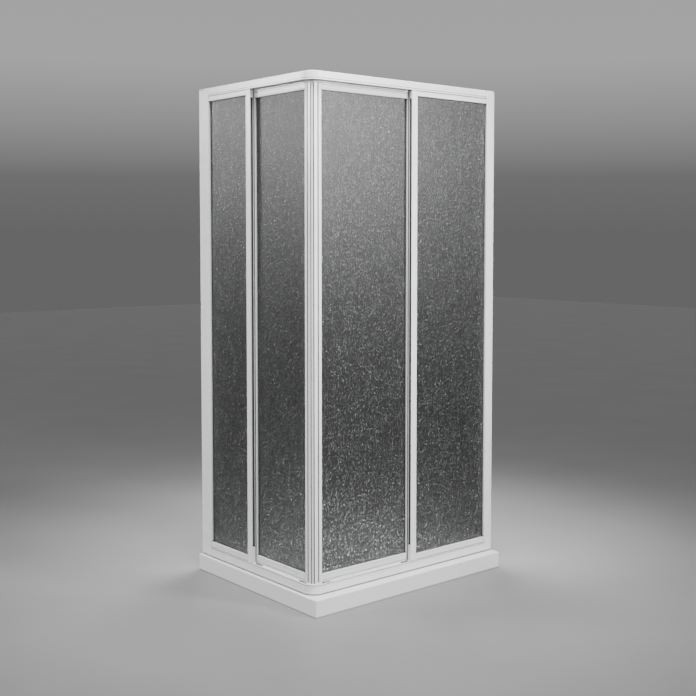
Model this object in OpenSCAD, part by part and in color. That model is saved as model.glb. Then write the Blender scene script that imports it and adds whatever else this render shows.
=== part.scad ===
// Corner entry shower enclosure: two glazed sides that meet at a near corner, on a low tray.
// Each side has a fixed panel next to its wall and a sliding door next to the corner.
// Front side: local u runs along +X and v inwards along +Y. The other side swaps X and Y.
// Heights are measured from the tray rim, and the origin is the middle of the tray's underside.

/* [Overall] */
// Height of the glazed frame above the tray rim
frame_h = 1850; // [1750:10:2000]
// Length of the front side, from the near corner to its wall
front_len = 929; // [860:1:1100]
// Length of the left-hand side, from the near corner to its wall
side_len = 715; // [670:1:900]
// Distance from the near corner to the free edge of the front fixed panel
front_edge = 480; // [440:1:500]
// Distance from the near corner to the free edge of the side fixed panel
side_edge = 367; // [330:1:400]

/* [Tray] */
// Height of the tray rim above the floor
tray_h = 65; // [60:1:90]
// Rim that shows in front of the front side
front_rim = 40.5; // [30:0.5:60]
// Rim that shows beside the left-hand side
side_rim = 13.5; // [10:0.5:60]
// Rim between the frame and the basin
inner_rim = 18; // [12:1:40]
// Rim along the two walls
wall_rim = 50; // [40:1:80]
// Depth of the basin at its edge
basin_depth = 40; // [30:1:44]
// Further fall of the basin floor towards the waste
floor_fall = 4; // [2:0.5:6]
// Corner radius of the basin at the rim
basin_r = 60; // [40:1:90]
// How far the basin walls lean in between the rim and the floor
basin_lean = 14; // [6:1:25]
// Radius along the outer top edge of the tray
tray_edge_r = 5; // [4:0.5:12]
// Thickness of the tray's outer skirt
skirt_t = 12; // [8:1:16]
// Thickness between the basin wall and the hollow under the rim
shell_t = 10; // [8:1:14]
// Thickness of the rim over the hollow
rim_t = 14; // [10:1:18]
// Thickness of the ribs under the rim
rib_t = 8; // [6:1:12]
// Largest distance between two ribs
rib_pitch = 220; // [150:10:300]

/* [Waste] */
// Distance from each wall to the waste centre
waste_inset = 180; // [150:5:230]
// Bore of the waste outlet
waste_bore = 40; // [36:1:50]
// Wall of the waste tube
waste_wall = 4; // [3:0.5:5]
// Diameter of the waste flange
waste_flange = 90; // [84:1:100]
// Thickness of the waste flange
waste_flange_t = 3; // [2:0.5:4]
// Diameter of the waste cover
waste_cover_d = 78; // [70:1:82]
// Height of the cover over its flange
cover_lift = 4; // [3:0.5:6]
// Widening of the bore where the cover's ring sits
cover_step = 1.5; // [1:0.25:2]
// How far the cover's ring reaches into the bore
cover_ring_h = 8; // [5:0.5:10]

/* [Profiles] */
// Wall thickness of the extruded profiles
wall_t = 1.8; // [1.4:0.1:2]
// Depth of the rails, from the outer face inwards
rail_d = 44; // [42:0.5:45]
// Outer radius of the rounded near corner
corner_r = 46; // [46:1:56]
// Distance from the near corner to the seam between corner joint and rail
corner_seam = 60; // [57:1:60]
// Height of the outer face of the top rail
head_h = 31; // [26:1:36]
// Height of the web between fixed panel and door in the top rail
head_web_h = 37; // [34:0.5:37]
// Height of the inner face of the top rail
head_inner_h = 40; // [37:1:44]
// Radius along the outer top edge of the top rail
head_edge_r = 3; // [1.5:0.5:3.5]
// Height of the outer face of the bottom rail
sill_h = 37; // [34:1:44]
// Height of the web between fixed panel and door in the bottom rail
sill_web_h = 30; // [26:1:33]
// Height of the inner face of the bottom rail
sill_inner_h = 16; // [12:1:24]
// Height of the groove floor in the bottom rail
groove_z = 24; // [20:1:26]
// Height of the door guide rib in the bottom rail
guide_rib_h = 24; // [20:1:26]
// Radius of the rounded lip on the bottom rail
lip_r = 1.6; // [1.2:0.1:1.8]
// Width of the jamb face
jamb_w = 29; // [27:0.5:36]
// Part of the front wall channel that shows beside its jamb
front_gap = 14; // [13:0.5:40]
// Part of the side wall channel that shows beside its jamb
side_gap = 39.5; // [13:0.5:45]
// How far the wall channels reach into their jambs
wall_engage = 14; // [12:0.5:15]
// Width of the fixed panel's free stile
fixed_stile_w = 28; // [27:0.5:34]
// Depth of the open channel along the free stile
stile_channel = 10; // [8:0.5:11]
// Setback of the fixed panel's face from the rail face
fixed_set = 0.8; // [0.4:0.1:1.2]
// Depth of the fixed panel's profiles
fixed_d = 16.2; // [15.5:0.1:16.4]
// Height of the glazing bead over the bottom rail
bead_low_h = 22; // [18:1:28]
// Height of the glazing bead under the top rail
bead_top_h = 20; // [18:1:26]
// Width of the rounded lips beside the glass
glass_lip_w = 6.5; // [3:0.5:8]
// How far those lips stand out
glass_lip_out = 0.8; // [0.5:0.1:0.9]
// Width of the shadow lines in the profile faces
line_w = 1.8; // [0.8:0.1:2]
// Depth of the shadow lines
line_d = 1; // [0.5:0.1:1]
// Height of the strip below the shadow line of the top rail
head_strip_h = 6; // [4:0.5:9]
// Height of the strip below the shadow line of a door's bottom rail
door_strip_h = 5; // [3:0.5:8]
// Number of weep slots in the inner wall of each bottom rail
weep_n = 3; // [2:1:5]
// Length of the weep slots
weep_len = 24; // [12:1:40]
// Height of the weep slots
weep_h = 4; // [3:0.5:6]

/* [Glazing] */
// Thickness of the acrylic sheets
sheet_t = 3; // [2:0.5:4]
// Thickness of the glazing gasket
gasket_t = 1; // [0.6:0.1:1.2]
// Depth of the glazing pockets
pocket_d = 10; // [8:0.5:12]
// Air behind a gasket in its pocket
pocket_air = 1; // [0.5:0.25:2]
// Depth of the sheet behind the face of a fixed panel
fixed_sheet_set = 9.2; // [7.5:0.1:9.2]
// Depth of the sheet behind the face of a door
door_sheet_set = 7.5; // [6:0.1:8.5]

/* [Doors] */
// Depth of the door profiles
door_d = 16; // [15:0.25:16]
// Gap between the fixed panels and the doors
door_clear = 3.5; // [3.5:0.1:3.8]
// Visible width of the closing stiles
closing_w = 42; // [40:0.5:46]
// Width of the trailing stiles
trail_w = 25; // [22:0.5:32]
// How far a trailing stile laps behind the fixed panel
door_lap = 20; // [14:0.5:22]
// Height of the door's top rail
door_top_h = 24; // [22:1:30]
// Height of the door's bottom rail
door_low_h = 30; // [26:1:36]
// Height of the door's lower edge over the tray rim
door_low_z = 36; // [34:1:38]
// Distance from the top of the frame down to the top of the doors
door_drop = 38; // [38:0.5:40]
// Width of the grip groove in the closing stile
grip_w = 5.5; // [4:0.5:7]
// Depth of the grip groove
grip_d = 3; // [1.5:0.25:3]
// Distance from the door glass to the grip groove
grip_inset = 12.5; // [8:0.5:14]
// Thickness of the magnetic strips
magnet_t = 5; // [4:0.25:6]
// Width and depth of the shadow gap between a closing stile and its magnetic strip
seam_w = 2.2; // [1:0.1:2.4]
// Gap between the two magnetic strips when the doors are closed
meet_gap = 0.4; // [0.3:0.1:1]

/* [Running gear] */
// Diameter of the top rollers
roller_d = 20; // [18:0.5:20]
// Width of the top rollers
roller_w = 6; // [5:0.5:7]
// Diameter of the axles
axle_d = 4; // [3.5:0.5:5]
// Radial clearance of a roller on its axle
axle_clear = 0.05; // [0.03:0.01:0.1]
// Width of the ledge that the rollers run on
ledge_w = 11; // [9:0.5:11]
// Distance from the top of the frame down to the ledge
ledge_drop = 33; // [32.8:0.1:33.2]
// Radius of the running bead on the ledge
bead_r = 1.5; // [1.2:0.1:1.6]
// Thickness of the hanger plates
hanger_t = 2; // [1.5:0.25:2.5]
// Width of the hangers
hanger_w = 30; // [26:1:36]
// Distance from a door stile to its hanger
hanger_inset = 12; // [10:1:20]
// Gap left between an open door and the jamb
end_gap = 1.8; // [1:0.1:6]
// Height of the rubber stops in the track
stop_h = 14; // [10:0.5:16]
// Length of the bottom guide shoes
shoe_len = 28; // [20:1:36]
// Width of the bottom guide shoes
shoe_w = 10; // [8:0.5:12]
// How far the guide shoes reach below the door
shoe_drop = 21; // [16:1:22]
// Gap on each side of the guide rib
shoe_gap = 0.4; // [0.3:0.05:0.6]

/* [Fasteners] */
// Shank diameter of the assembly screws
screw_d = 3.8; // [3.2:0.1:4]
// Head diameter of the assembly screws
screw_head_d = 7; // [6:0.1:7.2]
// Height of the screw heads
screw_head_h = 2.2; // [1.6:0.1:2.4]
// Diameter of the wall screw holes
wall_hole_d = 5.5; // [4:0.5:7]
// Distance of the outer wall holes from the ends of the channel
wall_hole_inset = 120; // [80:5:200]
// Distance of the outer jamb screws from the ends of the jamb
jamb_screw_inset = 160; // [100:5:240]

/* [Hidden] */
$fn = 32;

front = 0;
side = 1;
white = "#f2f3f3";
sheet_grey = [0.75, 0.78, 0.79, 0.5];
rubber_grey = "#4a4c4e";
steel = "#c9ccce";

// Named clearances
slip = 0.3;
snug = 0.1;
cut = 1;

// Plan positions along one side
function side_length(s) = s == front ? front_len : side_len;
function free_edge(s) = s == front ? front_edge : side_edge;
function wall_gap(s) = s == front ? front_gap : side_gap;
function jamb_u(s) = side_length(s) - wall_gap(s) - jamb_w;
function fixed_glass_u(s) = free_edge(s) + fixed_stile_w;
function trail_u(s) = free_edge(s) + door_lap - trail_w;
function door_end(s) = free_edge(s) + door_lap;

// Depths from the outer face
fixed_back = fixed_set + fixed_d;
mid_v = fixed_back + slip;
door_v = fixed_back + door_clear;
door_back = door_v + door_d;
door_mid_v = door_v + door_sheet_set + sheet_t / 2;
track_v = mid_v + wall_t;
inner_v = rail_d - wall_t;

// Heights
sill_top = sill_h + lip_r / 2 + slip;
head_bottom = frame_h - head_h;
fixed_low = sill_top;
fixed_high = head_bottom - slip;
door_high = frame_h - door_drop;
door_glass_low = door_low_z + door_low_h;
door_glass_high = door_high - door_top_h;
bead_low = fixed_low + bead_low_h;
bead_high = fixed_high - bead_top_h;
ledge_z = frame_h - ledge_drop;
lip_z = sill_h - lip_r / 2;

// Doors along u, the same on both sides up to the closing stile
closing_u = door_v + closing_w;
mitre_n = meet_gap / 2 + magnet_t;
mitre_u = mitre_n * sqrt(2);
door_chamber_u = closing_u - pocket_d - wall_t;

// Running gear
bead_top = ledge_z + bead_r;
groove_r = roller_d / 2 - bead_r + slip / 2;
axle_z = bead_top + slip / 2 + groove_r;
roller_v = inner_v - ledge_w / 2 - roller_w / 2;
hanger_set = 1.5;
hanger_v = door_v + hanger_set;
hanger_foot_h = 8;
hanger_top_r = 9;
hanger_foot_gap = 0.6;
foot_w = inner_v - ledge_w - hanger_foot_gap - hanger_v;
hang_screw_v = hanger_v + hanger_t + screw_head_d / 2 + snug;
hang_screw_bite = 1;
axle_head_t = 1;
axle_rivet = 2;
axle_shoulder = 1.2;
axle_keeper = 1;
roller_rim = 1.2;
shoe_peg_r = 2.5;
shoe_peg_h = 8;
shoe_rib_air = 3;
stop_len = hanger_inset + screw_head_h + end_gap;
function lead_u() = closing_u + hanger_inset + hanger_w / 2;
function tail_u(s) = trail_u(s) + trail_w - hanger_inset - hanger_w / 2;
function stop_u(s) = jamb_u(s) - stop_len;

// Screws
cap_t = 2;
screw_r = screw_d / 2;
hole_r = screw_r + 0.2;
port_bore = screw_r + snug;
port_r = port_bore + 1.3;
head_port_z = frame_h - cap_t - screw_head_d / 2;
sill_port_z = wall_t + port_r - slip;
port_inner_gap = 0.9;
port_vs = [track_v + port_r - slip, inner_v - port_r - port_inner_gap];
door_top_port_z = (door_glass_high + pocket_d + door_high) / 2;
door_low_port_z = (door_low_z + door_glass_low - pocket_d) / 2;
bite = 14;
jamb_screw_edge = 5;
corner_screw_len = 10;
driver_gap = 0.6;

// End blocks of the free stile, and the seal between them
block_low_h = 60;
block_top_h = 30;
block_reach = 13;
seal_w = 2.8;
seal_u = 4;
seal_foot_t = 1.6;
seal_foot_lip = 1;

// Corner joint lugs
lug_len = 25;
lug_drop = 20;
corner_screw_u = corner_seam + 12;

// Pockets for the sheets, and the anchor of the magnetic strips along the mitre
fixed_pocket_v0 = fixed_set + fixed_sheet_set - gasket_t;
fixed_pocket_v1 = fixed_pocket_v0 + sheet_t + 2 * gasket_t;
door_pocket_v0 = door_v + door_sheet_set - gasket_t;
door_pocket_v1 = door_pocket_v0 + sheet_t + 2 * gasket_t;
anchor_off = 4.5;
anchor_a = (door_v + door_back) / 2 * sqrt(2) + anchor_off;
anchor_neck = 2.2;
anchor_head = 4.2;
anchor_head_t = 1.6;
magnet_edge = 2;

// Legs of the jamb caps
cap_leg = 10;
cap_leg_h = 14;
cap_leg_gap = 2;

// Waste cover
cover_ring_t = 2;
cover_edge_t = 1.5;
cover_crown = 4;
cover_bevel = 6;
cover_bevel_h = 3;
cover_leg_w = 4;
cover_leg = 6;
cover_seat_air = 1;

// Tray plan
skin = 0.01;
cone_gap = 0.2;
tray_x0 = -side_rim;
tray_y0 = -front_rim;
basin_low = rail_d + inner_rim;
basin_x1 = front_len - wall_rim;
basin_y1 = side_len - wall_rim;
waste_x = front_len - waste_inset;
waste_y = side_len - waste_inset;
waste_z = -basin_depth - floor_fall;
waste_r = waste_bore / 2 + waste_wall;
mid_x = (tray_x0 + front_len) / 2;
mid_y = (tray_y0 + side_len) / 2;

// Placing: u and v of the chosen side, heights from the tray rim
module on_side(s) {
    translate([-mid_x, -mid_y, tray_h])
        if (s == front) children();
        else mirror([1, -1, 0]) children();
}

// A section drawn as (v, z), run along u
module run(u0, u1) {
    translate([u0, 0, 0]) rotate([90, 0, 90]) linear_extrude(u1 - u0) children();
}

// A plan drawn as (u, v), raised from z0 to z1
module post(z0, z1) {
    translate([0, 0, z0]) linear_extrude(z1 - z0) children();
}

// A rectangle by its corners
module box2(x0, y0, x1, y1) {
    translate([x0, y0]) square([x1 - x0, y1 - y0]);
}

// A low rounded lip along x from the origin, which stands out towards -y
module lip2() {
    r = (glass_lip_w * glass_lip_w / 4 + glass_lip_out * glass_lip_out) / (2 * glass_lip_out);
    intersection() {
        translate([glass_lip_w / 2, r - glass_lip_out]) circle(r = r, $fn = 96);
        box2(0, -2 * glass_lip_out, glass_lip_w, wall_t / 2);
    }
}

// The same lip for a section drawn as (v, z), from the height z upwards
module lip_up(v, z) {
    translate([v, z]) mirror([1, -1]) lip2();
}

// A block by its corners
module box3(a, b) {
    translate(a) cube(b - a);
}

// A round bar along u from one point
module bar_u(u, v, z, r, length) {
    translate([u, v, z]) rotate([0, 90, 0]) cylinder(r = r, h = length);
}

// A round bar along v from one point
module bar_v(u, v, z, r, length) {
    translate([u, v, z]) rotate([-90, 0, 0]) cylinder(r = r, h = length);
}

// The waste of square corner outside a quarter round, along z
module edge_waste(r, length) {
    difference() {
        translate([-cut, -cut, -cut]) cube([r + cut, r + cut, length + 2 * cut]);
        translate([r, r, -2 * cut]) cylinder(r = r, h = length + 4 * cut, $fn = 48);
    }
}

// Tray and waste

module tray_block() {
    difference() {
        box3([tray_x0, tray_y0, -tray_h], [front_len, side_len, 0]);
        translate([tray_x0, tray_y0, -tray_h]) edge_waste(tray_edge_r, tray_h);
        for (y = [tray_y0, side_len])
            translate([tray_x0, y, 0]) mirror([0, y == side_len ? 1 : 0, 0])
                rotate([0, 90, 0]) edge_waste(tray_edge_r, front_len - tray_x0);
        for (x = [tray_x0, front_len])
            translate([x, tray_y0, 0]) mirror([x == front_len ? 1 : 0, 0, 0])
                rotate([-90, 0, 0]) edge_waste(tray_edge_r, side_len - tray_y0);
    }
}

module round_block(x0, y0, x1, y1, r, z0, z1) {
    post(z0, z1) {
        box2(x0 + r, y0, x1 - r, y1);
        box2(x0, y0 + r, x1, y1 - r);
        for (x = [x0 + r, x1 - r], y = [y0 + r, y1 - r]) translate([x, y]) circle(r = r);
    }
}

module basin_void() {
    hull()
        for (x = [basin_low + basin_r, basin_x1 - basin_r])
            for (y = [basin_low + basin_r, basin_y1 - basin_r])
                translate([x, y, -basin_depth])
                    cylinder(r1 = basin_r - basin_lean, r2 = basin_r, h = basin_depth + skin);
}

module floor_cone() {
    reach = norm([basin_x1 - basin_low, basin_y1 - basin_low]);
    lean = basin_lean + cone_gap;
    intersection() {
        translate([waste_x, waste_y, waste_z])
            cylinder(r1 = waste_flange / 2, r2 = reach, h = floor_fall + skin, $fn = 96);
        round_block(basin_low + lean, basin_low + lean, basin_x1 - lean, basin_y1 - lean,
            basin_r - lean, waste_z - cut, -basin_depth + skin);
    }
}

module rim_hollow() {
    x0 = tray_x0 + skirt_t;
    y0 = tray_y0 + skirt_t;
    x1 = front_len - skirt_t;
    y1 = side_len - skirt_t;
    i0 = basin_low - shell_t;
    difference() {
        box3([x0, y0, -tray_h - cut], [x1, y1, -rim_t]);
        box3([i0, i0, -tray_h - 2 * cut], [basin_x1 + shell_t, basin_y1 + shell_t, 0]);
        nx = ceil((x1 - x0) / rib_pitch);
        for (i = [1 : nx - 1])
            translate([x0 + i * (x1 - x0) / nx - rib_t / 2, y0 - cut, -tray_h])
                cube([rib_t, y1 - y0 + 2 * cut, tray_h]);
        ny = ceil((y1 - y0) / rib_pitch);
        for (i = [1 : ny - 1])
            translate([x0 - cut, y0 + i * (y1 - y0) / ny - rib_t / 2, -tray_h])
                cube([x1 - x0 + 2 * cut, rib_t, tray_h]);
    }
}

module shower_tray() {
    color(white) on_side(front) difference() {
        tray_block();
        basin_void();
        floor_cone();
        rim_hollow();
        translate([waste_x, waste_y, waste_z - waste_flange_t])
            cylinder(d = waste_flange + 2 * slip, h = waste_flange_t + cut, $fn = 64);
        translate([waste_x, waste_y, -tray_h - cut])
            cylinder(r = waste_r + slip, h = tray_h, $fn = 64);
    }
}

module waste_body() {
    low = -tray_h + cut - waste_z;
    seat_r = waste_bore / 2 + cover_step;
    color(steel) on_side(front) translate([waste_x, waste_y, waste_z])
        rotate_extrude($fn = 64) difference() {
            union() {
                box2(waste_bore / 2, low, waste_r, 0);
                box2(waste_bore / 2, -waste_flange_t, waste_flange / 2, 0);
            }
            box2(0, -cover_ring_h - cover_seat_air, seat_r, cut);
        }
}

// The cover: a low cap on legs, with a ring that drops into the top of the bore
module waste_cover() {
    cap_r = waste_cover_d / 2;
    ring_r = waste_bore / 2 + cover_step - slip;
    color(steel) on_side(front) translate([waste_x, waste_y, waste_z]) {
        rotate_extrude($fn = 64) {
            polygon([[0, cover_lift], [cap_r, cover_lift], [cap_r, cover_lift + cover_edge_t],
                [cap_r - cover_bevel, cover_lift + cover_bevel_h], [0, cover_lift + cover_crown]]);
            box2(ring_r - cover_ring_t, -cover_ring_h, ring_r, cover_ring_t);
        }
        for (a = [0 : 60 : 300]) rotate(a) translate([ring_r - cover_ring_t, -cover_leg_w / 2, 0])
            cube([cover_leg, cover_leg_w, cover_lift + cover_edge_t / 2]);
    }
}

// Sections of the rails, drawn as (v, z)

module head_walls() {
    line_z = head_bottom + head_strip_h;
    difference() {
        box2(0, head_bottom + lip_r, wall_t, frame_h);
        box2(-cut, line_z, line_d, line_z + line_w);
    }
    translate([wall_t / 2, head_bottom + lip_r]) circle(r = lip_r);
    box2(0, frame_h - wall_t, rail_d, frame_h);
    box2(mid_v, frame_h - head_web_h, track_v, frame_h);
    box2(inner_v, frame_h - head_inner_h, rail_d, frame_h);
}

module head_edge() {
    difference() {
        box2(-cut, frame_h - head_edge_r, head_edge_r, frame_h + cut);
        translate([head_edge_r, frame_h - head_edge_r]) circle(r = head_edge_r);
    }
}

module head_section() {
    difference() {
        union() {
            head_walls();
            box2(inner_v - ledge_w, ledge_z - wall_t, inner_v, ledge_z);
            translate([inner_v - ledge_w / 2, ledge_z]) circle(r = bead_r);
            for (v = port_vs) {
                translate([v, head_port_z]) circle(r = port_r);
                box2(v - wall_t / 2, head_port_z, v + wall_t / 2, frame_h - wall_t / 2);
            }
        }
        for (v = port_vs) translate([v, head_port_z]) circle(r = port_bore);
        head_edge();
    }
}

module sill_walls() {
    line_z = lip_z - lip_r - line_w;
    difference() {
        union() {
            box2(0, 0, wall_t, lip_z);
            box2(0, 0, rail_d, wall_t);
        }
        box2(-cut, line_z, line_d, line_z + line_w);
        box2(-cut, -cut, line_d, line_w);
    }
    box2(mid_v, 0, track_v, sill_web_h);
    box2(0, groove_z - wall_t, mid_v, groove_z);
    box2(inner_v, 0, rail_d, sill_inner_h);
    translate([wall_t / 2, lip_z]) circle(r = lip_r);
}

module sill_section() {
    difference() {
        union() {
            sill_walls();
            box2(door_mid_v - wall_t / 2, 0, door_mid_v + wall_t / 2, guide_rib_h);
            for (v = port_vs) translate([v, sill_port_z]) circle(r = port_r);
        }
        for (v = port_vs) translate([v, sill_port_z]) circle(r = port_bore);
    }
}

module top_rail(s) {
    color(white) on_side(s) difference() {
        run(corner_seam, jamb_u(s)) head_section();
        translate([corner_screw_u, mid_v / 2, frame_h - wall_t - snug])
            cylinder(r1 = hole_r, r2 = screw_head_d / 2 + snug, h = wall_t + 2 * snug);
    }
}

module bottom_rail(s) {
    color(white) on_side(s) difference() {
        run(corner_seam, jamb_u(s)) sill_section();
        translate([corner_screw_u, mid_v / 2, -snug])
            cylinder(r2 = hole_r, r1 = screw_head_d / 2 + snug, h = wall_t + 2 * snug);
        pitch = (jamb_u(s) - corner_seam) / weep_n;
        for (i = [0 : weep_n - 1])
            translate([corner_seam + (i + 0.5) * pitch - weep_len / 2, inner_v - cut, wall_t])
                cube([weep_len, wall_t + 2 * cut, weep_h]);
    }
}

// The rounded corner joints, with a lug into each rail

module around_corner() {
    translate([corner_r, corner_r, 0]) rotate(180)
        rotate_extrude(angle = 90, $fn = 96) translate([corner_r, 0]) mirror([1, 0]) children();
    for (s = [front, side]) mirror([s, -s, 0]) run(corner_r, corner_seam) children();
}

module corner_lug(z0, z1) {
    difference() {
        union() {
            box3([corner_r, wall_t, z0], [corner_seam, mid_v, z1]);
            box3([corner_seam, wall_t + slip, z0], [corner_seam + lug_len, mid_v - slip, z1]);
        }
        translate([corner_screw_u, mid_v / 2, z0 - cut])
            cylinder(r = port_bore, h = z1 - z0 + 2 * cut);
    }
}

module top_corner_joint() {
    color(white) on_side(front) {
        around_corner() difference() {
            head_walls();
            head_edge();
        }
        for (s = [front, side]) mirror([s, -s, 0])
            corner_lug(frame_h - lug_drop, frame_h - wall_t - slip);
    }
}

module bottom_corner_joint() {
    color(white) on_side(front) {
        around_corner() sill_walls();
        for (s = [front, side]) mirror([s, -s, 0])
            corner_lug(wall_t + slip, groove_z - wall_t - slip);
    }
}

module corner_screws() {
    reach = corner_screw_len;
    color(steel) on_side(front) for (s = [front, side]) mirror([s, -s, 0]) {
        translate([corner_screw_u, mid_v / 2, frame_h - reach]) {
            cylinder(r = screw_r, h = reach - snug);
            translate([0, 0, reach - wall_t]) cylinder(r1 = screw_r, r2 = screw_head_d / 2, h = wall_t);
        }
        translate([corner_screw_u, mid_v / 2, 0]) {
            cylinder(r = screw_r, h = reach);
            cylinder(r1 = screw_head_d / 2, r2 = screw_r, h = wall_t);
        }
    }
}

// Wall side: channel, jamb and their screws

function jamb_screw_u(s) = jamb_u(s) + jamb_w - jamb_screw_edge;
function jamb_screw_zs() = [jamb_screw_inset, frame_h / 2, frame_h - jamb_screw_inset];
function wall_hole_zs() = [wall_hole_inset, frame_h / 2, frame_h - wall_hole_inset];

module jamb_screw_holes(s) {
    for (z = jamb_screw_zs())
        bar_v(jamb_screw_u(s), inner_v - wall_t - cut, z, hole_r, rail_d - inner_v + wall_t + 2 * cut);
}

module wall_channel(s) {
    wall_u = side_length(s);
    low = wall_t + slip;
    start = wall_u - wall_gap(s) - wall_engage;
    color(white) on_side(s) difference() {
        post(0, frame_h - cap_t) difference() {
            box2(start, low, wall_u, rail_d - low);
            box2(start - cut, low + wall_t, wall_u - wall_t, rail_d - low - wall_t);
        }
        for (z = wall_hole_zs())
            bar_u(wall_u - wall_t - cut, rail_d / 2, z, wall_hole_d / 2, wall_t + 2 * cut);
        jamb_screw_holes(s);
    }
}

module jamb_plan() {
    difference() {
        union() {
            box2(0, 0, jamb_w, rail_d);
            lip2();
        }
        box2(-cut, fixed_pocket_v0, pocket_d, fixed_pocket_v1);
        box2(wall_t, wall_t, pocket_d, fixed_pocket_v0 - wall_t);
        box2(pocket_d + wall_t, wall_t, jamb_w + cut, inner_v);
        box2(wall_t, fixed_pocket_v1 + wall_t, jamb_w + cut, inner_v);
    }
}

module jamb(s) {
    u = jamb_u(s);
    color(white) on_side(s) difference() {
        post(0, frame_h - cap_t) translate([u, 0]) jamb_plan();
        jamb_screw_holes(s);
        for (v = port_vs, z = [sill_port_z, head_port_z]) bar_u(u - cut, v, z, hole_r, wall_t + 2 * cut);
    }
}

module jamb_caps() {
    leg_v = 2 * wall_t + 2 * slip + cap_leg_gap;
    color(white) on_side(front) for (s = [front, side]) mirror([s, -s, 0]) {
        wall_u = side_length(s);
        leg_u = wall_u - wall_t - slip;
        box3([jamb_u(s), 0, frame_h - cap_t], [wall_u, rail_d, frame_h]);
        box3([leg_u - cap_leg, leg_v, frame_h - cap_t - cap_leg_h], [leg_u, rail_d - leg_v, frame_h - cap_t]);
    }
}

module jamb_screws() {
    reach = 10;
    color(steel) on_side(front) for (s = [front, side], z = jamb_screw_zs()) mirror([s, -s, 0]) {
        bar_v(jamb_screw_u(s), rail_d - reach, z, screw_r, reach);
        bar_v(jamb_screw_u(s), rail_d, z, screw_head_d / 2, screw_head_h);
    }
}

module rail_screws() {
    color(steel) on_side(front)
        for (s = [front, side], v = port_vs, z = [sill_port_z, head_port_z]) mirror([s, -s, 0]) {
            bar_u(jamb_u(s) - bite, v, z, screw_r, bite + wall_t);
            bar_u(jamb_u(s) + wall_t, v, z, screw_head_d / 2 - slip, screw_head_h);
        }
}

// Glazing: a sheet with its gasket fills a window of known edges

module sheet(u0, u1, z0, z1, v) {
    hold = pocket_d - gasket_t - pocket_air;
    box3([u0 - hold, v, z0 - hold], [u1 + hold, v + sheet_t, z1 + hold]);
}

module gasket(u0, u1, z0, z1, v) {
    hold = pocket_d - pocket_air;
    difference() {
        box3([u0 - hold, v - gasket_t, z0 - hold], [u1 + hold, v + sheet_t + gasket_t, z1 + hold]);
        sheet(u0, u1, z0, z1, v);
        box3([u0, v - gasket_t - cut, z0], [u1, v + sheet_t + gasket_t + cut, z1]);
    }
}

module fixed_panel(s) {
    color(sheet_grey) on_side(s)
        sheet(fixed_glass_u(s), jamb_u(s), bead_low, bead_high, fixed_set + fixed_sheet_set);
}

module fixed_gasket(s) {
    color(rubber_grey) on_side(s)
        gasket(fixed_glass_u(s), jamb_u(s), bead_low, bead_high, fixed_set + fixed_sheet_set);
}

module door_panel(s) {
    color(sheet_grey) on_side(s)
        sheet(closing_u, trail_u(s), door_glass_low, door_glass_high, door_v + door_sheet_set);
}

module door_gasket(s) {
    color(rubber_grey) on_side(s)
        gasket(closing_u, trail_u(s), door_glass_low, door_glass_high, door_v + door_sheet_set);
}

// Fixed panel frame

module stile_plan() {
    pocket_w = fixed_stile_w - pocket_d;
    v0 = fixed_set + wall_t;
    v1 = fixed_back - wall_t;
    difference() {
        union() {
            box2(0, fixed_set, fixed_stile_w, fixed_back);
            translate([fixed_stile_w - glass_lip_w, fixed_set]) lip2();
        }
        box2(-cut, v0, stile_channel, v1);
        box2(stile_channel + wall_t, v0, pocket_w - wall_t, v1);
        box2(pocket_w, v0, fixed_stile_w - wall_t, fixed_pocket_v0 - wall_t);
        box2(pocket_w, fixed_pocket_v0, fixed_stile_w + cut, fixed_pocket_v1);
        box2(seal_u, v1 - cut, seal_u + seal_w + 2 * snug, fixed_back + cut);
    }
}

module fixed_stile(s) {
    color(white) on_side(s) post(fixed_low, fixed_high) translate([free_edge(s), 0]) stile_plan();
}

// Each range is a pair of heights: the bead, its glass pocket, its hollow and the tongue into the rail.
// A lip rises from foot, and a shadow line runs along the rail at line_z.
module bead_section(body, pocket, hollow, tongue, foot, line_z) {
    tongue_v0 = lip_r + wall_t / 2 + 2 * snug;
    tongue_v1 = fixed_back - slip;
    difference() {
        union() {
            box2(fixed_set, body[0], fixed_back, body[1]);
            box2(tongue_v0, tongue[0], tongue_v1, tongue[1]);
            lip_up(fixed_set, foot);
        }
        box2(fixed_set - cut, line_z, fixed_set + line_d, line_z + line_w);
        box2(fixed_pocket_v0, pocket[0], fixed_pocket_v1, pocket[1]);
        box2(fixed_set + wall_t, hollow[0] + wall_t, fixed_back - wall_t, hollow[1] - wall_t);
        box2(tongue_v0 + wall_t, tongue[0] + wall_t, tongue_v1 - wall_t, tongue[1] - wall_t);
    }
}

module bottom_bead(s) {
    pocket_end = bead_low - pocket_d;
    color(white) on_side(s) run(fixed_glass_u(s), jamb_u(s))
        bead_section([fixed_low, bead_low], [pocket_end, bead_low + cut], [fixed_low, pocket_end],
            [groove_z + slip, fixed_low], bead_low - glass_lip_w, fixed_low);
}

module top_bead(s) {
    pocket_end = bead_high + pocket_d;
    color(white) on_side(s) run(fixed_glass_u(s), jamb_u(s))
        bead_section([bead_high, fixed_high], [bead_high - cut, pocket_end], [pocket_end, fixed_high],
            [fixed_high, fixed_high + block_reach], bead_high, fixed_high - line_w);
}

module brush_seal(s) {
    v1 = fixed_back - wall_t;
    tip = door_v - glass_lip_out - slip;
    color(rubber_grey) on_side(s)
        post(fixed_low + block_low_h + slip, fixed_high - block_top_h - slip)
            translate([free_edge(s) + seal_u + snug, 0]) {
                box2(-seal_foot_lip, v1 - seal_foot_t, seal_w + seal_foot_lip, v1);
                box2(0, v1 - snug, seal_w, tip);
            }
}

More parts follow.
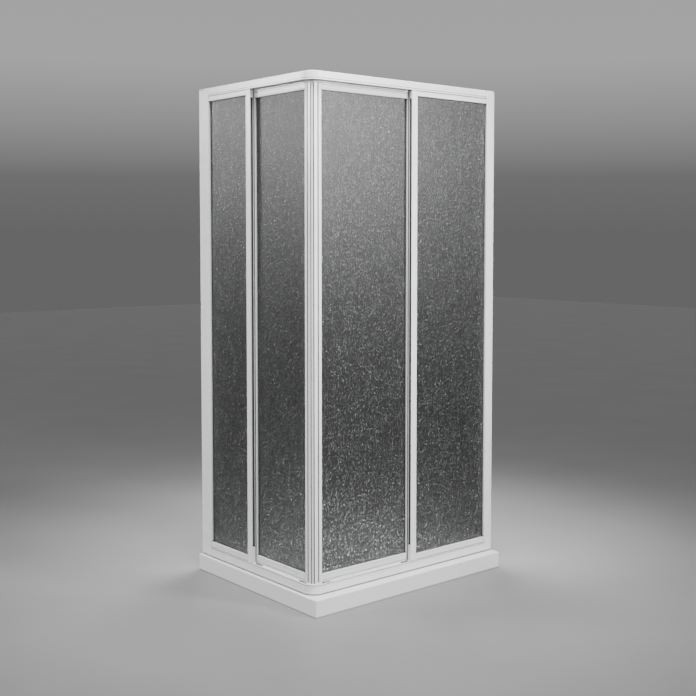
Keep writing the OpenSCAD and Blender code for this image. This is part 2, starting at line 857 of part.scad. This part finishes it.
module stile_end_blocks() {
    v0 = fixed_set + wall_t + snug;
    v1 = fixed_back - wall_t - snug;
    color(white) on_side(front) for (s = [front, side]) mirror([s, -s, 0]) {
        u0 = free_edge(s) + slip;
        u1 = free_edge(s) + stile_channel - snug;
        box3([u0, v0, groove_z + slip], [u1, v1, fixed_low + block_low_h]);
        box3([u0, v0, fixed_high - block_top_h], [u1, v1, fixed_high + block_reach]);
    }
}

// Door frame

// Between z0 and z1, with the glass above (up = -1) or below (up = 1), and a shadow line at line_z
module door_rail_section(z0, z1, glass_z, up, line_z) {
    pocket_end = glass_z + up * pocket_d;
    back_z = up > 0 ? z1 : z0;
    port_z = (pocket_end + back_z) / 2;
    difference() {
        union() {
            difference() {
                box2(door_v, z0, door_back, z1);
                box2(door_v + wall_t, min(pocket_end + up * wall_t, back_z - up * wall_t),
                    door_back - wall_t, max(pocket_end + up * wall_t, back_z - up * wall_t));
            }
            box2(door_mid_v - wall_t / 2, min(pocket_end, back_z), door_mid_v + wall_t / 2,
                max(pocket_end, back_z));
            translate([door_mid_v, port_z]) circle(r = port_r);
            lip_up(door_v, up > 0 ? glass_z : glass_z - glass_lip_w);
        }
        box2(door_v - cut, line_z, door_v + line_d, line_z + line_w);
        translate([door_mid_v, port_z]) circle(r = port_bore);
        box2(door_pocket_v0, min(glass_z - up * cut, pocket_end), door_pocket_v1,
            max(glass_z - up * cut, pocket_end));
        box2(door_v + wall_t, min(glass_z + up * wall_t, pocket_end), door_pocket_v0 - wall_t,
            max(glass_z + up * wall_t, pocket_end));
    }
}

module door_top_rail(s) {
    hole_z = door_high - 2 * wall_t - slip;
    color(white) on_side(s) difference() {
        run(closing_u, trail_u(s))
            door_rail_section(door_glass_high, door_high, door_glass_high, 1, door_high - door_strip_h - line_w);
        for (u = [lead_u(), tail_u(s)])
            translate([u, hang_screw_v, hole_z]) cylinder(r = hole_r, h = door_high - hole_z + cut);
    }
}

module door_bottom_rail(s) {
    color(white) on_side(s) difference() {
        run(closing_u, trail_u(s))
            door_rail_section(door_low_z, door_glass_low, door_glass_low, -1, door_low_z + door_strip_h);
        for (u = [lead_u(), tail_u(s)])
            translate([u, door_mid_v, door_low_z - cut])
                cylinder(r = shoe_peg_r + snug, h = shoe_peg_h + 2 * cut);
    }
}

// Plan on the mitre: x along the mitre from the origin, y away from it into the front door
module on_mitre() {
    rotate(45) mirror([0, 1]) children();
}

module closing_plan() {
    inner = mitre_u + wall_t * sqrt(2);
    grip_u = closing_u - grip_inset - grip_w;
    difference() {
        union() {
            difference() {
                polygon([[door_v + mitre_u, door_v], [closing_u, door_v], [closing_u, door_back],
                    [door_back + mitre_u, door_back]]);
                polygon([[door_v + wall_t + inner, door_v + wall_t], [door_chamber_u, door_v + wall_t],
                    [door_chamber_u, door_back - wall_t], [door_back - wall_t + inner, door_back - wall_t]]);
                box2(door_chamber_u + wall_t, door_v + wall_t, closing_u - wall_t, door_pocket_v0 - wall_t);
            }
            box2(grip_u - wall_t, door_v, grip_u + grip_w + wall_t, door_v + grip_d + wall_t);
            translate([closing_u - glass_lip_w, door_v]) lip2();
        }
        box2(door_v + mitre_u - cut, door_v - cut, door_v + mitre_u + seam_w, door_v + seam_w);
        box2(grip_u, door_v - cut, grip_u + grip_w, door_v + grip_d);
        box2(closing_u - pocket_d, door_pocket_v0, closing_u + cut, door_pocket_v1);
        on_mitre() translate([anchor_a - anchor_neck / 2 - snug, mitre_n - cut])
            square([anchor_neck + 2 * snug, wall_t + 2 * cut]);
    }
}

module closing_stile(s) {
    color(white) on_side(s) difference() {
        post(door_low_z, door_high) closing_plan();
        for (z = [door_low_port_z, door_top_port_z]) {
            bar_u(door_chamber_u - cut, door_mid_v, z, hole_r, closing_u - door_chamber_u + 2 * cut);
            bar_u(door_v, door_mid_v, z, screw_head_d / 2 + driver_gap, door_chamber_u - door_v - wall_t);
        }
    }
}

module magnet_strip(s) {
    a0 = door_v * sqrt(2) + magnet_edge;
    a1 = (door_back + mitre_u) * sqrt(2) - mitre_u - magnet_edge;
    nose_a = door_v * sqrt(2) + mitre_n + seam_w * sqrt(2);
    color(white) on_side(s) post(door_low_z, door_high) on_mitre() {
        box2(a0, meet_gap / 2, a1, mitre_n - seam_w);
        box2(nose_a, meet_gap / 2, a1, mitre_n - snug / 2);
        translate([anchor_a - anchor_neck / 2, mitre_n - snug]) square([anchor_neck, wall_t + 3 * snug]);
        translate([anchor_a - anchor_head / 2, mitre_n + wall_t + snug]) square([anchor_head, anchor_head_t]);
    }
}

module trailing_plan(s) {
    u0 = trail_u(s);
    u1 = door_end(s);
    difference() {
        union() {
            box2(u0, door_v, u1, door_back);
            translate([u0, door_v]) lip2();
        }
        box2(u0 - cut, door_pocket_v0, u0 + pocket_d, door_pocket_v1);
        box2(u0 + wall_t, door_v + wall_t, u0 + pocket_d, door_pocket_v0 - wall_t);
        box2(u0 + pocket_d + wall_t, door_v + wall_t, u1 - wall_t, door_back - wall_t);
    }
}

module trailing_stile(s) {
    color(white) on_side(s) difference() {
        post(door_low_z, door_high) trailing_plan(s);
        for (z = [door_low_port_z, door_top_port_z])
            bar_u(trail_u(s) - cut, door_mid_v, z, hole_r, trail_w + 2 * cut);
    }
}

// Door fittings

module hanger(u) {
    rise = axle_z - door_high;
    half = hanger_w / 2;
    difference() {
        union() {
            translate([u, hanger_v + hanger_t, door_high]) rotate([90, 0, 0]) linear_extrude(hanger_t) {
                box2(-half, 0, half, hanger_foot_h);
                polygon([[-half, hanger_foot_h], [half, hanger_foot_h],
                    [hanger_top_r, rise], [-hanger_top_r, rise]]);
                translate([0, rise]) circle(r = hanger_top_r);
            }
            box3([u - half, hanger_v, door_high], [u + half, hanger_v + foot_w, door_high + hanger_t]);
        }
        bar_v(u, hanger_v - cut, axle_z, axle_d / 2 + axle_clear, hanger_t + 2 * cut);
        translate([u, hang_screw_v, door_high - cut]) cylinder(r = hole_r, h = hanger_t + 2 * cut);
    }
}

module hangers(s) {
    color(steel) on_side(s) for (u = [lead_u(), tail_u(s)]) hanger(u);
}

// Axle: riveted head, shaft, shoulder against the plate and keeper past the roller
module axle(u) {
    r = axle_d / 2;
    plate_back = hanger_v + hanger_t;
    keeper_v = roller_v + roller_w + slip;
    translate([u, 0, axle_z]) rotate([-90, 0, 0]) rotate_extrude() {
        box2(0, hanger_v - axle_head_t, r + axle_rivet, hanger_v);
        box2(0, hanger_v - axle_head_t, r, keeper_v + axle_head_t);
        box2(0, plate_back, r + axle_shoulder, roller_v - slip);
        box2(0, keeper_v, r + axle_keeper, keeper_v + axle_head_t);
    }
}

module axles(s) {
    color(steel) on_side(s) for (u = [lead_u(), tail_u(s)]) axle(u);
}

module roller(s, u) {
    r = roller_d / 2;
    color(white) on_side(s) translate([u, roller_v, axle_z]) rotate([-90, 0, 0]) rotate_extrude($fn = 48)
        difference() {
            box2(axle_d / 2 + axle_clear, 0, r, roller_w);
            polygon([[r, roller_rim], [groove_r, roller_w / 2 - bead_r], [groove_r, roller_w / 2 + bead_r],
                [r, roller_w - roller_rim], [r + cut, roller_w - roller_rim], [r + cut, roller_rim]]);
        }
}

module guide_shoes(s) {
    half = shoe_w / 2;
    slot = wall_t / 2 + shoe_gap;
    low = door_low_z - shoe_drop;
    color(white) on_side(s) for (u = [lead_u(), tail_u(s)]) {
        difference() {
            box3([u - shoe_len / 2, door_mid_v - half, low],
                [u + shoe_len / 2, door_mid_v + half, door_low_z]);
            box3([u - shoe_len, door_mid_v - slot, low - cut],
                [u + shoe_len, door_mid_v + slot, guide_rib_h + shoe_rib_air]);
        }
        translate([u, door_mid_v, door_low_z]) cylinder(r = shoe_peg_r, h = shoe_peg_h);
    }
}

module door_screws(s) {
    color(steel) on_side(s) {
        for (z = [door_low_port_z, door_top_port_z]) {
            bar_u(door_chamber_u, door_mid_v, z, screw_r, closing_u - door_chamber_u + bite);
            bar_u(door_chamber_u - screw_head_h, door_mid_v, z, screw_head_d / 2, screw_head_h);
            bar_u(trail_u(s) - bite, door_mid_v, z, screw_r, trail_w + bite);
            bar_u(door_end(s), door_mid_v, z, screw_head_d / 2, screw_head_h);
        }
        for (u = [lead_u(), tail_u(s)]) translate([u, hang_screw_v, door_high]) {
            translate([0, 0, -wall_t - hang_screw_bite])
                cylinder(r = screw_r, h = wall_t + hang_screw_bite + hanger_t);
            translate([0, 0, hanger_t]) cylinder(d = screw_head_d - 2 * slip, h = screw_head_h);
        }
    }
}

// Rubber stops on the bead, in the way of the hangers at both ends of the travel
module track_stops(s) {
    z0 = bead_top + snug;
    closed_end = lead_u() - hanger_w / 2 - slip;
    color(rubber_grey) on_side(s) {
        box3([corner_seam + slip, hanger_v - slip, z0], [closed_end, inner_v - slip, z0 + stop_h]);
        box3([stop_u(s), hanger_v - slip, z0], [jamb_u(s), inner_v - slip, z0 + stop_h]);
    }
}

shower_tray();
waste_body();
waste_cover();
wall_channel(front);  // front_wall_channel
wall_channel(side);  // side_wall_channel
jamb(front);  // front_jamb
jamb(side);  // side_jamb
jamb_caps();
top_rail(front);  // front_top_rail
top_rail(side);  // side_top_rail
bottom_rail(front);  // front_bottom_rail
bottom_rail(side);  // side_bottom_rail
top_corner_joint();
bottom_corner_joint();
fixed_panel(front);  // front_fixed_panel
fixed_panel(side);  // side_fixed_panel
fixed_gasket(front);  // front_fixed_gasket
fixed_gasket(side);  // side_fixed_gasket
fixed_stile(front);  // front_fixed_stile
fixed_stile(side);  // side_fixed_stile
top_bead(front);  // front_top_bead
top_bead(side);  // side_top_bead
bottom_bead(front);  // front_bottom_bead
bottom_bead(side);  // side_bottom_bead
brush_seal(front);  // front_brush_seal
brush_seal(side);  // side_brush_seal
stile_end_blocks();
jamb_screws();
rail_screws();
corner_screws();
track_stops(front);  // front_track_stops
track_stops(side);  // side_track_stops
door_panel(front);  // front_door_panel
door_gasket(front);  // front_door_gasket
door_top_rail(front);  // front_door_top_rail
door_bottom_rail(front);  // front_door_bottom_rail
closing_stile(front);  // front_closing_stile
trailing_stile(front);  // front_trailing_stile
magnet_strip(front);  // front_magnet_strip
hangers(front);  // front_hangers
axles(front);  // front_axles
guide_shoes(front);  // front_guide_shoes
door_screws(front);  // front_door_screws
roller(front, lead_u());  // front_lead_roller
roller(front, tail_u(front));  // front_trail_roller
door_panel(side);  // side_door_panel
door_gasket(side);  // side_door_gasket
door_top_rail(side);  // side_door_top_rail
door_bottom_rail(side);  // side_door_bottom_rail
closing_stile(side);  // side_closing_stile
trailing_stile(side);  // side_trailing_stile
magnet_strip(side);  // side_magnet_strip
hangers(side);  // side_hangers
axles(side);  // side_axles
guide_shoes(side);  // side_guide_shoes
door_screws(side);  // side_door_screws
roller(side, lead_u());  // side_lead_roller
roller(side, tail_u(side));  // side_trail_roller
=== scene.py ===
"""Corner shower enclosure: looks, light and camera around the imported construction."""
import math

import bpy
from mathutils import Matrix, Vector

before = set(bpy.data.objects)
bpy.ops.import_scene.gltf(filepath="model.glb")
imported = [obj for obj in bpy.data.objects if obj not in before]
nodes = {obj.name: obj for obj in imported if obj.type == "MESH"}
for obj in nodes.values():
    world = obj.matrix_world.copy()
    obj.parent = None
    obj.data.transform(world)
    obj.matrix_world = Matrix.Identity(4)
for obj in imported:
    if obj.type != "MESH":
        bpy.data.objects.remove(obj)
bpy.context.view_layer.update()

SIDES = ("front", "side")

# A Mix node has the same socket names for each data type, so its sockets go by number
MIX_VALUE_A, MIX_VALUE_B, MIX_VALUE_OUT = 2, 3, 0
MIX_COLOUR_A, MIX_COLOUR_B, MIX_COLOUR_OUT = 6, 7, 2

# Nearly all values of a noise texture lie between these two
NOISE_LOW, NOISE_HIGH = 0.3, 0.7

# Share of a point's surroundings that is open where the painted shade is darkest, and where none
# is painted
PAINTED_SHADE_FULL, PAINTED_SHADE_NONE = 0.55, 0.97


# Node helpers

def new_material(name):
    """An empty node material with its output and a Principled shader joined."""
    material = bpy.data.materials.new(name)
    material.use_nodes = True
    tree = material.node_tree
    tree.nodes.clear()
    output = tree.nodes.new("ShaderNodeOutputMaterial")
    shader = tree.nodes.new("ShaderNodeBsdfPrincipled")
    join(tree, shader, "BSDF", output, "Surface")
    return material, tree, shader


def add(tree, kind, values=None, **settings):
    """A node with its settings and the values of its inputs."""
    made = tree.nodes.new("ShaderNode" + kind)
    for key, value in settings.items():
        setattr(made, key, value)
    for key, value in (values or {}).items():
        made.inputs[key].default_value = value
    return made


def join(tree, source, output, target, socket):
    """Links an output of one node to an input of another."""
    tree.links.new(source.outputs[output], target.inputs[socket])


def object_space(tree, scale=(1, 1, 1)):
    """Object coordinates, which are metres in the part's frame, scaled along each axis."""
    mapping = add(tree, "Mapping", {"Scale": scale})
    join(tree, add(tree, "TexCoord"), "Object", mapping, "Vector")
    return mapping


def noise(tree, space, scale, detail=2.0, warp=0.0):
    """A noise texture; scale is about the number of its blots in a metre."""
    made = add(tree, "TexNoise", {"Scale": scale, "Detail": detail, "Distortion": warp})
    join(tree, space, "Vector", made, "Vector")
    return made


def ramp(tree, source, output, stops):
    """A colour ramp with (place, grey or colour) stops."""
    made = add(tree, "ValToRGB")
    line = made.color_ramp
    while len(line.elements) < len(stops):
        line.elements.new(0.5)
    for element, (place, tone) in zip(line.elements, stops):
        colour = (tone, tone, tone) if isinstance(tone, float) else tone
        element.position = place
        element.color = (*colour, 1)
    join(tree, source, output, made, "Fac")
    return made


def two_tones(tree, texture, low, high):
    """A tone that goes from low to high with a noise texture."""
    return ramp(tree, texture, "Fac", [(NOISE_LOW, low), (NOISE_HIGH, high)])


def spread(tree, source, output, low=0.0, high=1.0, start=0.0, end=1.0):
    """Stretches a value from start..end to low..high."""
    made = add(tree, "MapRange",
               {"From Min": start, "From Max": end, "To Min": low, "To Max": high})
    join(tree, source, output, made, "Value")
    return made


def blend(tree, low, high, share):
    """Mixes two values, each a (node, output) pair, with share of the second."""
    made = add(tree, "Mix", {"Factor": share}, data_type="FLOAT")
    join(tree, *low, made, MIX_VALUE_A)
    join(tree, *high, made, MIX_VALUE_B)
    return made


def set_roughness(tree, shader, source, output, low, high, start=0.0, end=1.0):
    """Roughness that goes from low to high as a texture's value goes from start to end."""
    gloss = spread(tree, source, output, low, high, start, end)
    join(tree, gloss, "Result", shader, "Roughness")


def set_relief(tree, shader, source, output, strength, distance):
    """Fine relief from a texture's value; distance is its height in metres."""
    skin = add(tree, "Bump", {"Strength": strength, "Distance": distance})
    join(tree, source, output, skin, "Height")
    join(tree, skin, "Normal", shader, "Normal")


def set_coat(shader, weight, roughness):
    """A clear glossy layer over the colour."""
    shader.inputs["Coat Weight"].default_value = weight
    shader.inputs["Coat Roughness"].default_value = roughness


def set_painted_shade_colour(tree, shader, tone, reach, least):
    """A tone with painted shade, which darkens in grooves and gaps where shade falls.

    reach is how far from a neighbouring face it begins, in metres, and least the share of
    the tone that is left at the bottom of a groove.
    """
    crevice = add(tree, "AmbientOcclusion", {"Distance": reach}, samples=12)
    shade = spread(tree, crevice, "AO", low=least, start=PAINTED_SHADE_FULL, end=PAINTED_SHADE_NONE)
    mixed = add(tree, "Mix", {"Factor": 1.0}, data_type="RGBA", blend_type="MULTIPLY")
    join(tree, tone, "Color", mixed, MIX_COLOUR_A)
    join(tree, shade, "Result", mixed, MIX_COLOUR_B)
    join(tree, mixed, MIX_COLOUR_OUT, shader, "Base Color")


def put(material, *names):
    """Gives CAD nodes one material."""
    for name in names:
        slots = nodes[name].data.materials
        slots.clear()
        slots.append(material)


# Materials

def powder_coat():
    """White powder coat on extruded aluminium: faint orange peel, and a slow drift of tone."""
    material, tree, shader = new_material("white_powder_coat")
    space = object_space(tree)
    drift = noise(tree, space, scale=5.0, detail=3.0)
    peel = noise(tree, space, scale=900.0)
    tone = two_tones(tree, drift, (0.80, 0.81, 0.81), (0.86, 0.865, 0.865))
    # Painted shade: the tone darkens in grooves and gaps, where shade falls
    set_painted_shade_colour(tree, shader, tone, reach=0.007, least=0.08)
    set_roughness(tree, shader, drift, "Fac", 0.22, 0.34)
    set_relief(tree, shader, peel, "Fac", strength=0.12, distance=0.0004)
    set_coat(shader, weight=0.25, roughness=0.12)
    return material


def moulded_white():
    """White moulded plastic of the corner joints, caps, end blocks, rollers and shoes."""
    material, tree, shader = new_material("white_moulding")
    space = object_space(tree)
    drift = noise(tree, space, scale=9.0, detail=3.0)
    grain = noise(tree, space, scale=1600.0, detail=1.0)
    tone = two_tones(tree, drift, (0.79, 0.80, 0.80), (0.84, 0.845, 0.845))
    # Painted shade: the tone darkens in grooves and gaps, where shade falls
    set_painted_shade_colour(tree, shader, tone, reach=0.007, least=0.08)
    set_roughness(tree, shader, grain, "Fac", 0.28, 0.42)
    set_relief(tree, shader, grain, "Fac", strength=0.08, distance=0.0003)
    return material


def tray_acrylic():
    """Vacuum-formed white sanitary acrylic: high gloss over a slow ripple."""
    material, tree, shader = new_material("white_sanitary_acrylic")
    space = object_space(tree)
    drift = noise(tree, space, scale=3.0, detail=3.0)
    ripple = noise(tree, space, scale=22.0, detail=1.5)
    tone = two_tones(tree, drift, (0.74, 0.75, 0.75), (0.80, 0.805, 0.805))
    # Painted shade: the tone darkens in grooves and gaps, where shade falls
    set_painted_shade_colour(tree, shader, tone, reach=0.008, least=0.2)
    set_roughness(tree, shader, drift, "Fac", 0.12, 0.22)
    set_relief(tree, shader, ripple, "Fac", strength=0.15, distance=0.001)
    set_coat(shader, weight=0.4, roughness=0.05)
    return material


def rain_acrylic(name, x, y):
    """Clear grey acrylic with a moulded raindrop relief: fine beads, specks and upright runs. Its
    tint carries painted shade in the relief's hollows and painted glints on its crests.

    x and y scale the pattern. The one through the thickness is near 0, so both faces of
    a sheet carry the same relief.
    """
    bead_rise, run_rise = 0.5, 0.12  # scale along Z: beads stand twice as tall as wide
    material, tree, shader = new_material(name)
    bead_space = object_space(tree, (x, y, bead_rise))
    run_space = object_space(tree, (x, y, run_rise))
    cells = add(tree, "TexVoronoi", {"Scale": 215.0, "Randomness": 1.0})
    join(tree, bead_space, "Vector", cells, "Vector")
    grain = noise(tree, bead_space, scale=380.0, detail=1.0, warp=0.2)
    runs = noise(tree, run_space, scale=260.0, detail=1.0, warp=0.1)

    beads = spread(tree, cells, "Distance", start=0.46, end=0.14)
    specks = spread(tree, grain, "Fac", start=0.42, end=0.64)
    streaks = spread(tree, runs, "Fac", start=0.44, end=0.66)
    fine = blend(tree, (specks, "Result"), (streaks, "Result"), share=0.38)
    height = blend(tree, (beads, "Result"), (fine, MIX_VALUE_OUT), share=0.5)

    # Painted shade and painted glints: the tint is near black in the relief's hollows and near
    # white on its crests
    tone = ramp(tree, height, MIX_VALUE_OUT, [
        (0.31, (0.07, 0.071, 0.071)), (0.46, (0.27, 0.275, 0.275)), (0.60, (0.94, 0.95, 0.95))])
    join(tree, tone, "Color", shader, "Base Color")
    set_roughness(tree, shader, height, MIX_VALUE_OUT, 0.36, 0.27, start=0.35, end=0.55)
    set_relief(tree, shader, height, MIX_VALUE_OUT, strength=1.0, distance=0.0008)
    shader.inputs["Transmission Weight"].default_value = 0.93
    shader.inputs["IOR"].default_value = 1.49
    return material


def rubber(name, grey, rough_low, rough_high):
    """Matt rubber or brush pile with a fine grain, its tone a little to either side of grey."""
    swing = 0.15  # share by which the tone leaves grey
    material, tree, shader = new_material(name)
    grain = noise(tree, object_space(tree), scale=700.0, detail=3.0)
    tone = two_tones(tree, grain, grey * (1 - swing), grey * (1 + swing))
    join(tree, tone, "Color", shader, "Base Color")
    set_roughness(tree, shader, grain, "Fac", rough_low, rough_high)
    set_relief(tree, shader, grain, "Fac", strength=0.2, distance=0.0003)
    return material


def plated_metal(name, colour, rough_low, rough_high, streak):
    """Metal with fine grain; streak below 1 draws the grain out along Z."""
    dark_share = 0.9  # of the colour, where the grain is darkest
    material, tree, shader = new_material(name)
    grain = noise(tree, object_space(tree, (1.0, 1.0, streak)), scale=500.0, detail=3.0)
    tone = two_tones(tree, grain, tuple(dark_share * channel for channel in colour), colour)
    join(tree, tone, "Color", shader, "Base Color")
    set_roughness(tree, shader, grain, "Fac", rough_low, rough_high)
    shader.inputs["Metallic"].default_value = 1.0
    return material


def dress():
    """Gives every CAD node its material."""
    through = 0.03  # scale of the rain pattern through the thickness of a sheet
    rain = {"front": rain_acrylic("front_rain_acrylic", 1.0, through),
            "side": rain_acrylic("side_rain_acrylic", through, 1.0)}
    profile = powder_coat()
    moulding = moulded_white()
    gasket = rubber("grey_gasket", 0.30, 0.5, 0.65)
    brush = rubber("brush_pile", 0.05, 0.75, 0.9)
    steel = plated_metal("plated_steel", (0.62, 0.63, 0.64), 0.25, 0.4, streak=0.1)
    chrome = plated_metal("chrome_plate", (0.80, 0.81, 0.82), 0.05, 0.12, streak=1.0)

    put(tray_acrylic(), "shower_tray")
    put(chrome, "waste_body", "waste_cover")
    put(moulding, "jamb_caps", "top_corner_joint", "bottom_corner_joint", "stile_end_blocks")
    put(steel, "jamb_screws", "rail_screws", "corner_screws")
    for side in SIDES:
        for material, parts in (
                (profile, ("wall_channel", "jamb", "top_rail", "bottom_rail", "fixed_stile",
                           "top_bead", "bottom_bead", "door_top_rail", "door_bottom_rail",
                           "closing_stile", "trailing_stile")),
                (rain[side], ("fixed_panel", "door_panel")),
                (gasket, ("fixed_gasket", "door_gasket")),
                (brush, ("brush_seal", "track_stops")),
                (moulding, ("magnet_strip", "guide_shoes", "lead_roller", "trail_roller")),
                (steel, ("hangers", "axles", "door_screws"))):
            put(material, *(f"{side}_{part}" for part in parts))


# Stage

def floor():
    """A plain pale floor with a faint drift of tone."""
    bpy.ops.mesh.primitive_plane_add(size=30.0)
    ground = bpy.context.object
    ground.name = "studio_floor"
    material, tree, shader = new_material("pale_floor")
    drift = noise(tree, object_space(tree), scale=2.0, detail=3.0)
    tone = two_tones(tree, drift, 0.20, 0.22)
    join(tree, tone, "Color", shader, "Base Color")
    shader.inputs["Roughness"].default_value = 0.45
    ground.data.materials.append(material)


def studio_dome(stops):
    """A grey dome, the same all round, with (height, tone) stops: 0 is the horizon, 1 overhead."""
    world = bpy.data.worlds.new("studio")
    bpy.context.scene.world = world
    world.use_nodes = True
    tree = world.node_tree
    height = add(tree, "SeparateXYZ")
    join(tree, add(tree, "TexCoord"), "Generated", height, "Vector")
    dome = ramp(tree, height, "Z", stops)
    join(tree, dome, "Color", tree.nodes["Background"], "Color")


def soft_light(name, place, target, size, power, cone):
    """A rectangular light aimed at a point, with its power in watts and its cone in degrees."""
    data = bpy.data.lights.new(name, "AREA")
    data.shape = "RECTANGLE"
    data.size, data.size_y = size
    data.energy = power
    data.spread = math.radians(cone)
    lamp = bpy.data.objects.new(name, data)
    lamp.location = place
    lamp.rotation_euler = (Vector(target) - Vector(place)).to_track_quat("-Z", "Y").to_euler()
    bpy.context.scene.collection.objects.link(lamp)


def studio_lights():
    """Lights in front, behind and above, placed so that the sheets brighten towards their tops."""
    middle = (0.0, 0.0, 0.95)
    soft_light("key_right", place=(1.5, -3.7, 2.5), target=(-0.2, -0.3, 1.3),
               size=(0.7, 1.2), power=32, cone=60)
    soft_light("back_left", place=(-3.1, 3.0, 2.5), target=(-0.4, 0.0, 1.2),
               size=(1.0, 1.2), power=21, cone=80)
    soft_light("front", place=(-1.6, -4.4, 2.3), target=middle,
               size=(1.6, 1.4), power=10, cone=90)
    soft_light("fill_left", place=(-3.8, -0.6, 2.4), target=middle,
               size=(1.2, 1.6), power=9, cone=70)
    soft_light("top", place=(0.5, 0.5, 3.6), target=(0.3, 0.25, 0),
               size=(1.0, 1.0), power=30, cone=50)
    soft_light("top_front", place=(-0.8, -1.0, 3.5), target=(-0.25, -0.2, 0.3),
               size=(1.0, 1.0), power=30, cone=75)


def camera():
    """The photograph's viewpoint, from a fit to the edges of the frame and tray."""
    turn, tilt = 0.698, -0.059  # radians: to the right of +Y, and up from level, so down a little
    data = bpy.data.cameras.new("camera")
    data.lens, data.sensor_width = 57.2, 36.0
    data.shift_y = -0.0693
    data.dof.use_dof = False
    eye = bpy.data.objects.new("camera", data)
    eye.location = (-2.83165, -3.36645, 1.3470)
    eye.rotation_euler = (math.pi / 2 + tilt, 0, -turn)
    bpy.context.scene.collection.objects.link(eye)
    bpy.context.scene.camera = eye


dress()
floor()
studio_dome([(0.0, 0.135), (0.05, 0.16), (0.15, 0.44), (0.3, 0.42), (0.45, 0.38), (0.7, 0.40),
             (1.0, 0.40)])
studio_lights()
camera()
